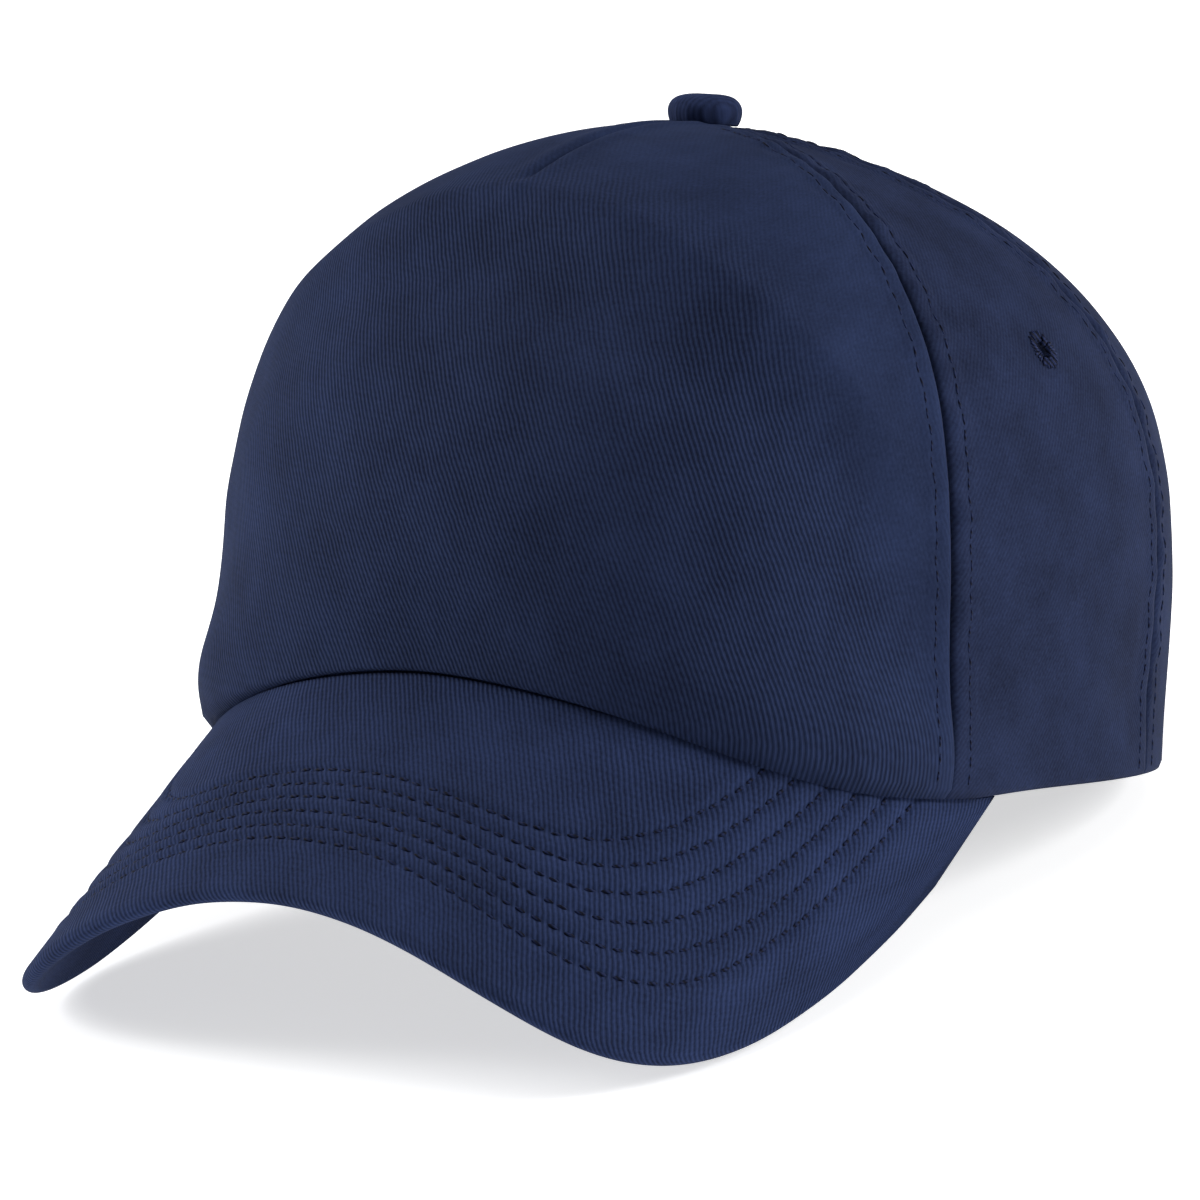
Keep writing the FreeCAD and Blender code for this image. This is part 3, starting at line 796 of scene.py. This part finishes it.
# Pressed steel, zinc plated: dull silver with a fine rolled grain.
steel, tree = new_material("zinc_plated_steel")
spot = add_node(tree, "ShaderNodeTexCoord", {}).outputs["Object"]
grain = add_node(tree, "ShaderNodeTexNoise", {"Vector": spot, "Scale": 2500.0, "Detail": 4.0})
wear = add_node(tree, "ShaderNodeMapRange", {"Value": grain.outputs["Fac"], "To Min": 0.32,
                                             "To Max": 0.55})
relief = add_node(tree, "ShaderNodeBump", {"Height": grain.outputs["Fac"], "Distance": 0.00002})
metal = add_node(tree, "ShaderNodeBsdfPrincipled",
                 {"Base Color": paint("9a9da1"), "Metallic": 1.0, "Roughness": wear.outputs[0],
                  "Normal": relief.outputs[0]})
add_node(tree, "ShaderNodeOutputMaterial", {"Surface": metal.outputs[0]})


def coat(material, *nodes):
    """Material of solids that are shown as they are."""
    for node in nodes:
        bpy.data.objects[node].data.materials.clear()
        bpy.data.objects[node].data.materials.append(material)


coat(steel, "button_shell", "button_shank", "button_back_washer")


# ---------- Visor board ----------
# The flexible board inside the visor, moulded from polyethylene. The two covers hide it.

# Natural polyethylene: milky, waxy, faintly mottled from the mould.
board, tree = new_material("natural_polyethylene")
spot = add_node(tree, "ShaderNodeTexCoord", {}).outputs["Object"]
mottle = add_node(tree, "ShaderNodeTexNoise", {"Vector": spot, "Scale": 300.0, "Detail": 3.0})
milk = add_node(tree, "ShaderNodeMix", {"Factor": mottle.outputs["Fac"], 6: paint("dcdcd6"),
                                        7: paint("eeeee9")}, data_type="RGBA")
waxy = add_node(tree, "ShaderNodeBsdfPrincipled", {"Base Color": milk.outputs[2],
                                                   "Roughness": 0.5})
add_node(tree, "ShaderNodeOutputMaterial", {"Surface": waxy.outputs[0]})
coat(board, "visor_board")


# ---------- Buckram ----------
# The stiff open-weave lining bonded behind the front panel. It stands the front up, and it
# shows white inside the cap above the sweatband.

buckram_angle, buckram_bottom, buckram_top = math.radians(59.0), 9.0, 78.0
lining_depth, buckram_thickness = 0.85, 0.5


def buckram_place(u, v):
    theta = buckram_angle * (2 * u - 1)
    low = rise_at_height(theta, hem_height(theta) + buckram_bottom)
    high = rise_at_height(theta, buckram_top + 0 * theta)
    return crown_inside(theta, low + (high - low) * v, lining_depth + 0 * theta)


def lining_relief(u, v, across, upward, points):
    made_up = soft_relief(points) + brow_relief(points)
    return made_up * ease(over_hem(points), 3.0, 14.0) + flare_relief(points)


def woven(name, dark, light, thread, depth, sheen):
    """Plain weave: crossed threads, alternately over and under, at a spacing in mm."""
    material, tree = new_material(name)
    cut = add_node(tree, "ShaderNodeTexCoord", {}).outputs["UV"]
    warp = add_node(tree, "ShaderNodeTexWave", {"Vector": cut, "Scale": wave_scale / thread,
                                                "Distortion": 0.6}, bands_direction="X")
    weft = add_node(tree, "ShaderNodeTexWave", {"Vector": cut, "Scale": wave_scale / thread,
                                                "Distortion": 0.6}, bands_direction="Y")
    weave = add_node(tree, "ShaderNodeMath", {0: warp.outputs["Fac"], 1: weft.outputs["Fac"]},
                     operation="MULTIPLY").outputs[0]
    cloudy = add_node(tree, "ShaderNodeTexNoise", {"Vector": cut, "Scale": 90.0, "Detail": 5.0})
    tone = add_node(tree, "ShaderNodeMath", {0: cloudy.outputs["Fac"], 1: 0.6, 2: weave},
                    operation="MULTIPLY_ADD").outputs[0]
    dye = add_node(tree, "ShaderNodeMix", {"Factor": tone, 6: paint(dark), 7: paint(light)},
                   data_type="RGBA")
    relief = add_node(tree, "ShaderNodeBump", {"Height": weave, "Distance": depth / 1000})
    cloth = add_node(tree, "ShaderNodeBsdfPrincipled",
                     {"Base Color": dye.outputs[2], "Normal": relief.outputs[0],
                      "Roughness": 0.85, "Specular IOR Level": 0.2, "Sheen Weight": sheen})
    add_node(tree, "ShaderNodeOutputMaterial", {"Surface": cloth.outputs[0]})
    return material


# Buckram: open plain weave at 1.2 mm, stiffened white with size.
white_buckram = woven("white_cotton_buckram", "b4b4ae", "eeeeea", 1.2, 0.25, 0.05)
buckram = cloth_grid("front_buckram_cloth", 90, 50, buckram_place, lining_relief)
thicken(buckram, buckram_thickness)
dress(buckram, white_buckram, "buckram", "crown", "front_buckram")


# ---------- Seam tapes ----------
# Navy woven tape over the raw edges of each crown seam, inside the cap, held by the same
# twin rows of stitches.

tape_width, tape_thickness, tape_end = 12.0, 0.45, 16.0

# Plain-weave tape, its ribs 0.6 mm apart; they are drawn at 0.8 mm so that they show.
navy_tape = woven("navy_cotton_tape", "0a0e1e", "2a3455", 0.8, 0.15, 0.1)


def tape_place(angle, bottom):
    def place(u, v):
        theta = angle + 0 * u
        low = rise_at_height(theta, hem_height(theta) + bottom)
        high = rise_at_radius(theta, tape_end)
        rise = low + (high - low) * v ** 1.2
        plan = crown_surface(theta, rise)
        half = np.arcsin(tape_width / 2 / np.hypot(plan[..., 0], plan[..., 1]))
        return crown_inside(theta + half * (2 * u - 1), rise, lining_depth + 0 * theta)
    return place


def tape_relief(u, v, across, upward, points):
    """The tape lies over the seam's ridge and is held down by its two rows."""
    off = (u - 0.5) * tape_width
    ridge = -0.75 * near(off, 2.4) + 0.25 * near(np.abs(off) - stitch_offset, 0.6)
    return ridge + lining_relief(u, v, across, upward, points)


for name, angle, low in seams:
    bottom = low if name == "rear_centre" else 0.3
    tape = cloth_grid("seam_tape_cloth_" + name, 12, 130, tape_place(angle, bottom), tape_relief)
    thicken(tape, tape_thickness)
    dress(tape, navy_tape, "cotton_tape", "crown", "seam_tape_" + name)
    lines = [seam_line(angle, offset, bottom + 1, tape_end + 2, lining_depth + tape_thickness)
             for offset in twin_rows]
    sew_rows("tape_stitches_" + name, lines, cloth_tree(tape), facing=-1.0, lift=tape_thickness)


# ---------- Sweatband ----------
# A strip of navy cotton folded over a thin pad and sewn into the hem all round, as far as
# the opening at the back. Only its bottom edge is sewn, and its fold stands free.

band_outside, band_inside, band_fold, band_bottom = 2.95, 5.45, 32.0, 0.3
band_cloth, band_overlap, band_rows = 0.5, 2.0, (3.5, 26.5)


def hem_spot(theta, depth, height):
    """Points set level into the cap from the hem, at a height over it."""
    plan = crown_surface(theta, 0 * theta)
    spot = plan + inward_of(theta, 0 * theta) * np.asarray(depth)[..., None]
    spot[..., 2] = hem_height(theta) + height
    return spot


def band_place(u, v):
    theta = (math.pi - opening_angle) * (2 * u - 1)
    radius = (band_inside - band_outside) / 2
    bottom = band_bottom - band_overlap * (1 - ease(np.abs(theta), 1.0, 1.4))
    wall = band_fold - radius - bottom
    walk = v * (2 * wall + math.pi * radius)
    angle = np.clip((walk - wall) / radius, 0, math.pi)
    past = np.maximum(walk - wall - math.pi * radius, 0)
    height = bottom + np.minimum(walk, wall) + radius * np.sin(angle) - past
    return hem_spot(theta, band_outside + radius * (1 - np.cos(angle)), height)


def band_relief(u, v, across, upward, points):
    """Slight waviness of the free fold, and a sewn groove near the fold and the hem."""
    height = over_hem(points)
    groove = -0.22 * near(height - band_rows[1], 0.7) - 0.3 * near(height - band_rows[0], 0.8)
    wavy = 0.3 * wander(points, 19.0, 31.0) * ease(height, 4.0, 20.0)
    return np.where(v > 0.5, groove + wavy, 0.0)


# Fine cotton twill for the sweatband, wales 0.7 mm apart, softer than the drill.
band_twill = twill("navy_cotton_twill_sweatband", "0c1124", "34416a", 0.7, 1.2, 30.0, 0.6, 0.1)
sweatband = cloth_grid("sweatband_cloth", 260, 90, band_place, band_relief)
thicken(sweatband, band_cloth)
dress(sweatband, band_twill, "sweatband_cotton", "crown", "sweatband")

reach = math.pi - opening_angle - 0.03
sweep = np.linspace(-reach, reach, 500)
sew_rows("sweatband_stitches", [hem_spot(sweep, band_inside + 0 * sweep, height + 0 * sweep)
                                for height in band_rows], cloth_tree(sweatband))

pad_angle, pad_low, pad_high, pad_depths = math.radians(75.0), 3.2, 30.2, (3.55, 4.85)


def pad_place(u, v):
    theta = pad_angle * (2 * u - 1)
    around = 2 * math.pi * v
    taper = np.sqrt(1 - ease(np.abs(2 * u - 1), 0.95, 1.0) ** 2)
    thick = (pad_depths[1] - pad_depths[0]) / 2
    depth = pad_depths[0] + thick - thick * taper * np.abs(np.sin(around)) ** 0.5 * np.sign(
        np.sin(around))
    tall = (pad_high - pad_low) / 2
    height = pad_low + tall + tall * (0.6 + 0.4 * taper) * np.cos(around)
    return hem_spot(theta, depth, height)


# Needled polyester wadding: white, matt, faintly fibrous.
wadding = woven("white_needled_wadding", "c9c7c0", "f1efe9", 2.0, 0.2, 0.3)
padding = cloth_grid("sweatband_pad", 120, 40, pad_place, closed=True)
dress(padding, wadding, "foam_pad", "crown", "sweatband_padding")


# ---------- Care label ----------
# A blank white satin ribbon folded and sewn into the sweatband's lower edge.

label_angle, label_width, label_height, label_bottom = math.radians(-128.0), 26.0, 24.0, 5.0
label_depth, label_thickness, label_round = 5.9, 0.25, 92.0


def label_place(u, v):
    theta = label_angle + label_width / label_round * (u - 0.5)
    return hem_spot(theta, label_depth + 0 * u, label_bottom + label_height * v)


def label_relief(u, v, across, upward, points):
    return 0.12 * wander(points, 7.0, 40.0) - 0.12 * near(v - 0.06, 0.03)


# Woven satin ribbon: white, smooth, with a slight gloss; threads drawn at 0.6 mm.
ribbon = woven("white_satin_ribbon", "d4d4d0", "f6f6f3", 0.6, 0.05, 0.3)
label = cloth_grid("care_label_ribbon", 24, 22, label_place, label_relief)
thicken(label, label_thickness)
dress(label, ribbon, "label_ribbon", "crown", "care_label")


# ---------- Opening binding ----------
# A folded strip of drill wraps the raw edge of the arched opening and is sewn through with
# a row near its inner edge.

binding_width, binding_lip, binding_depths = 7.0, -0.8, (-0.5, 1.2)
binding_row, binding_cloth = 5.4, 0.35


def opening_point(sweep, offset, depth):
    theta = math.pi - (opening_angle + offset / hem_rear_length) * np.cos(sweep)
    height = (opening_height + offset) * np.sin(sweep)
    rise = rise_at_height(theta, height)
    spot = crown_surface(theta, rise)
    spot[..., 2] = height
    return spot + inward_of(theta, 0 * theta) * np.asarray(depth)[..., None]


def binding_place(u, v):
    """From the inner edge, round the lip to the outer edge."""
    radius = (binding_depths[1] - binding_depths[0]) / 2
    run = binding_width - binding_lip - radius
    walk = v * (2 * run + math.pi * radius)
    angle = np.clip((walk - run) / radius, 0, math.pi)
    past = np.maximum(walk - run - math.pi * radius, 0)
    offset = binding_width - np.minimum(walk, run) - radius * np.sin(angle) + past
    return opening_point(math.pi * u, offset, binding_depths[1] - radius * (1 - np.cos(angle)))


def binding_relief(u, v, across, upward, points):
    groove = -0.18 * near(np.abs(2 * v - 1) - 0.62, 0.05)
    pucker = 0.1 * np.sin(across / 1.4) * near(np.abs(2 * v - 1) - 0.62, 0.2)
    return groove + pucker + 0.1 * wander(points, 9.0, 50.0)


binding = cloth_grid("opening_binding_cloth", 150, 44, binding_place, binding_relief)
thicken(binding, binding_cloth)
dress(binding, gore_drill, "cotton_drill", "crown", "rear_opening_binding")
sweep = np.linspace(0.04, math.pi - 0.04, 300)
sew_rows("binding_stitches", [opening_point(sweep, binding_row + 0 * sweep, depth + 0 * sweep)
                              for depth in binding_depths], cloth_tree(binding))


# ---------- Hook-and-loop strap ----------
# Two tabs of doubled drill cross the opening. The wearer's right one carries hook tape on
# its inner face and presses over the loop tape on the left one.

strap_bottom, strap_width, strap_thickness = 2.0, 18.0, 1.1
under_depth, tail_depth = 1.5, -1.5
sewn_end, strap_exit, strap_step = (math.radians(angle) for angle in (-34.0, -24.0, -20.5))
fold_start, fold_end, tail_tip = (math.radians(angle) for angle in (-19.65, -16.35, 15.0))
loop_tip, loop_end = math.radians(-14.5), math.radians(34.0)


def tab_place(start, end, depth_at, tip, width=strap_width, thickness=strap_thickness):
    """Strap with a rounded section. tip is 1, -1 or 0: the end that is cut round."""
    def place(u, v):
        angle = start + (end - start) * u
        from_tip = (1 - u if tip > 0 else u) * abs(end - start) * hem_rear_length
        corner = 5.0
        gone = np.clip(1 - from_tip / corner, 0, 1)
        short = corner * (1 - np.sqrt(1 - gone ** 2)) if tip else 0.35 * near(from_tip, 0.2)
        around = 2 * math.pi * v
        half = width / 2 - short
        flat = np.sign(np.cos(around)) * np.abs(np.cos(around)) ** 0.22
        round_side = np.sign(np.sin(around)) * np.abs(np.sin(around)) ** 0.6
        ends = np.minimum(np.minimum(u, 1 - u) * 40, 1) ** 0.5
        depth = depth_at(angle) + thickness / 2 + thickness / 2 * round_side * ends
        height = strap_bottom + strap_width / 2 + half * flat
        return hem_spot(math.pi - angle, depth, height)
    return place


def sewn_depth(angle):
    share = ease(angle, strap_exit, strap_step)
    return under_depth + (tail_depth - under_depth) * share


def tab_relief(u, v, across, upward, points):
    height = points[..., 2]
    edge = np.abs(height - strap_bottom - strap_width / 2) - strap_width / 2 + 2.0
    return -0.14 * near(edge, 0.5) + 0.08 * wander(points, 8.0, 60.0)


def tab_stitches(name, tab, start, end, depth_at, body):
    """A row along each edge of a tab, seen on both of its faces."""
    angle = np.linspace(start, end, 300)
    lines = [hem_spot(math.pi - angle, depth_at(angle) + depth, height + 0 * angle)
             for height in (strap_bottom + 2.0, strap_bottom + strap_width - 2.0)
             for depth in (0.0, strap_thickness)]
    sew_rows(name, lines, cloth_tree(tab), body=body)


def fold_point(angle):
    """Middle of the strap at an angle off the back, on the standing cap, in metres."""
    spot = hem_spot(np.array(math.pi - angle), np.array(tail_depth + strap_thickness / 2),
                    strap_bottom + strap_width / 2)
    return tuple(standing(spot))


hook_strap = cloth_grid("hook_strap_cloth", 170, 28,
                        tab_place(sewn_end, tail_tip, sewn_depth, 1), tab_relief, closed=True)
dress(hook_strap, gore_drill, "cotton_drill", None, "hook_strap_end", "hook_strap")
fold_point(fold_start)
fold_point(fold_end)
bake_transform(hook_strap)
tab_stitches("hook_strap_stitches", hook_strap, fold_end + 0.02, tail_tip - 0.04, sewn_depth,
             "strap_tail")
tab_stitches("hook_strap_end_stitches", hook_strap, sewn_end + 0.02, fold_start - 0.01,
             sewn_depth, "crown")


def level(depth):
    """A depth that stays the same along a tab."""
    return lambda angle: depth + 0 * angle


loop_strap = cloth_grid("loop_strap_cloth", 150, 28,
                        tab_place(loop_tip, loop_end, level(under_depth), -1), tab_relief,
                        closed=True)
dress(loop_strap, gore_drill, "cotton_drill", "crown", "loop_strap")
tab_stitches("loop_strap_stitches", loop_strap, loop_tip + 0.04, loop_end - 0.02,
             level(under_depth), "crown")

# Nylon tape, navy: the loop side is a nap of fine loops, the hook side a knitted ground.
nylon, tree = new_material("navy_nylon_pile")
spot = add_node(tree, "ShaderNodeTexCoord", {}).outputs["Object"]
pile = add_node(tree, "ShaderNodeTexVoronoi", {"Vector": spot, "Scale": 1100.0})
dye = add_node(tree, "ShaderNodeMix", {"Factor": pile.outputs["Distance"], 6: paint("2b3553"),
                                       7: paint("0a0d1a")}, data_type="RGBA")
relief = add_node(tree, "ShaderNodeBump", {"Height": pile.outputs["Distance"],
                                           "Distance": -0.0003})
fuzzy = add_node(tree, "ShaderNodeBsdfPrincipled",
                 {"Base Color": dye.outputs[2], "Normal": relief.outputs[0], "Roughness": 0.7,
                  "Sheen Weight": 0.3, "Sheen Tint": paint("8790b0")})
add_node(tree, "ShaderNodeOutputMaterial", {"Surface": fuzzy.outputs[0]})

tape_margin, hook_pitch, hook_height = 1.5, 1.5, 0.36
hook_depth, hook_ground, pile_depth, pile_thickness = -0.3, 0.34, 0.78, 0.55
hook_ends = (math.radians(-12.0), math.radians(14.0))
loop_ends = (math.radians(-13.5), math.radians(13.0))


def pile_relief(u, v, across, upward, points):
    return 0.12 * wander(points, 0.9, 70.0)


tape_face = strap_width - 2 * tape_margin
hook_tape = cloth_grid("hook_tape_ground", 110, 20,
                       tab_place(*hook_ends, level(hook_depth), 0, tape_face, hook_ground),
                       closed=True)
dress(hook_tape, nylon, "hook_and_loop", "strap_tail", "hook_tape")
loop_tape = cloth_grid("loop_tape_pile", 180, 40,
                       tab_place(*loop_ends, level(pile_depth), 0, tape_face, pile_thickness),
                       pile_relief, closed=True)
dress(loop_tape, nylon, "hook_and_loop", "crown", "loop_tape")

hooks = bmesh.new()
for angle in np.arange(hook_ends[0] + 0.012, hook_ends[1] - 0.012, hook_pitch / hem_rear_length):
    for row in range(int(tape_face / hook_pitch) - 1):
        height = strap_bottom + tape_margin + 1.5 + row * hook_pitch
        theta = np.array(math.pi - angle)
        foot = Vector(standing(hem_spot(theta, np.array(0.0), height)))
        inward = Vector(inward_of(theta, 0 * theta) @ stand_array[:3, :3].T).normalized()
        axes = inward.to_track_quat("Z", "Y").to_matrix().to_4x4()
        place = Matrix.Translation(foot + inward * hook_height / 2000) @ axes
        bmesh.ops.create_cone(hooks, cap_ends=True, segments=5, radius1=0.00022, radius2=0.00012,
                              depth=hook_height / 1000, matrix=place)
dress(made("hook_tape_hooks", hooks, smooth=False), nylon, "hook_and_loop", "strap_tail")


# ---------- Studio ----------
# White floor that glows a little, with a large soft light overhead, a smaller one on
# either side and a dim white surround.

floor = bmesh.new()
bmesh.ops.create_grid(floor, x_segments=1, y_segments=1, size=6.0)
floor = made("floor", floor, smooth=False)

# Matt white seamless paper that also glows: painted light that lifts the shadows on it.
glowing_paper, tree = new_material("glowing_white_paper")
white = add_node(tree, "ShaderNodeBsdfPrincipled",
                 {"Base Color": paint("f6f6f6"), "Roughness": 0.95, "Specular IOR Level": 0.1,
                  "Emission Color": paint("ffffff"), "Emission Strength": 0.62})
add_node(tree, "ShaderNodeOutputMaterial", {"Surface": white.outputs[0]})
floor.data.materials.append(glowing_paper)


def soft_light(name, place, target, size, power):
    light = bpy.data.lights.new(name, "AREA")
    light.size = size
    light.energy = power
    lamp = bpy.data.objects.new(name, light)
    lamp.location = place
    lamp.rotation_euler = (Vector(target) - Vector(place)).to_track_quat("-Z", "Y").to_euler()
    bpy.context.scene.collection.objects.link(lamp)


soft_light("overhead_light", (0.1, 0.2, 2.6), (0, 0, 0), 2.6, 27.0)
soft_light("left_light", (-1.5, -0.45, 0.75), (0, 0, 0.06), 0.7, 23.0)
soft_light("right_light", (1.4, 0.75, 0.75), (0, 0, 0.06), 0.7, 22.0)
surround = bpy.data.worlds.new("surround")
surround.use_nodes = True
surround.node_tree.nodes["Background"].inputs[0].default_value = (1.0, 1.0, 1.0, 1.0)
surround.node_tree.nodes["Background"].inputs[1].default_value = 0.16
bpy.context.scene.world = surround
bpy.context.scene.view_settings.view_transform = "Standard"

camera = bpy.data.cameras.new("camera")
camera.sensor_width = 36.0
camera.lens = 207.6
viewer = bpy.data.objects.new("camera", camera)
azimuth, elevation, roll = math.radians(35.66), math.radians(14.11), math.radians(-5.78)
back = Vector((math.sin(azimuth) * math.cos(elevation),
               -math.cos(azimuth) * math.cos(elevation), math.sin(elevation)))
aim = Vector((-0.0001, -0.0098, 0.0607))
viewer.location = aim + back * 1.3543
turn = (-back).to_track_quat("-Z", "Y").to_matrix().to_4x4()
viewer.rotation_euler = (turn @ Matrix.Rotation(roll, 4, "Z")).to_euler()
bpy.context.scene.collection.objects.link(viewer)
bpy.context.scene.camera = viewer
